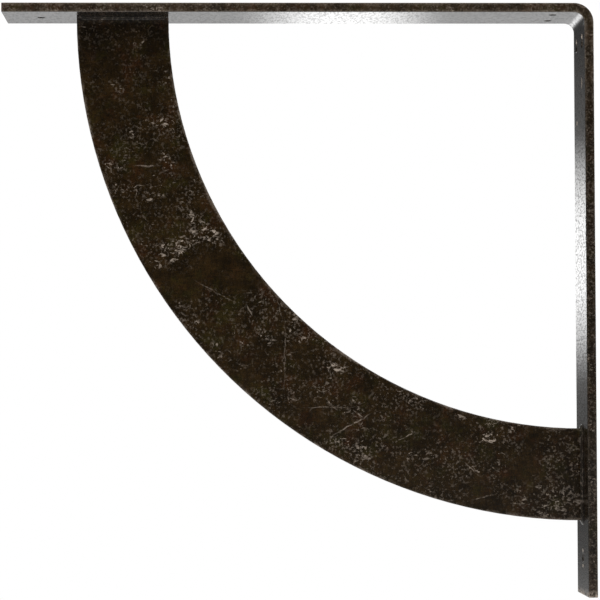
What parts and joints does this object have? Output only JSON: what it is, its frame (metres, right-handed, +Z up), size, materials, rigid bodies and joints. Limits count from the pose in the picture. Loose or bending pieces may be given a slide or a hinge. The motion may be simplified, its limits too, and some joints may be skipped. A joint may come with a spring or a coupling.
{
  "type": "decorative steel shelf bracket",
  "caption": "Flat steel bar bent into an L with a curved brace welded between its legs, which carries a shelf from a wall.",
  "frame": {"origin": "on the wall plane at mid width, midway between the two upper wall screws, 25.4 mm below the shelf plane", "axes": "+X into the wall, so the shelf leg runs out along -X; +Y along the wall, across the bar; +Z up, towards the shelf"},
  "size_m": [0.405, 0.0572, 0.4064],
  "materials": {
    "bar_coat": "dark brown coat over steel, glossy on the inner faces, mottled and scuffed on the edges",
    "brace_coat": "dark brown coat over steel, satin, with fine scratches and pale scuffs",
    "weld_coat": "dark brown coat over a fine smooth weld"
  },
  "bodies": {
    "root": {"bent_bar": "bar_coat", "curved_brace": "brace_coat", "shelf_weld": "weld_coat", "wall_weld": "weld_coat"}
  },
  "joints": []
}
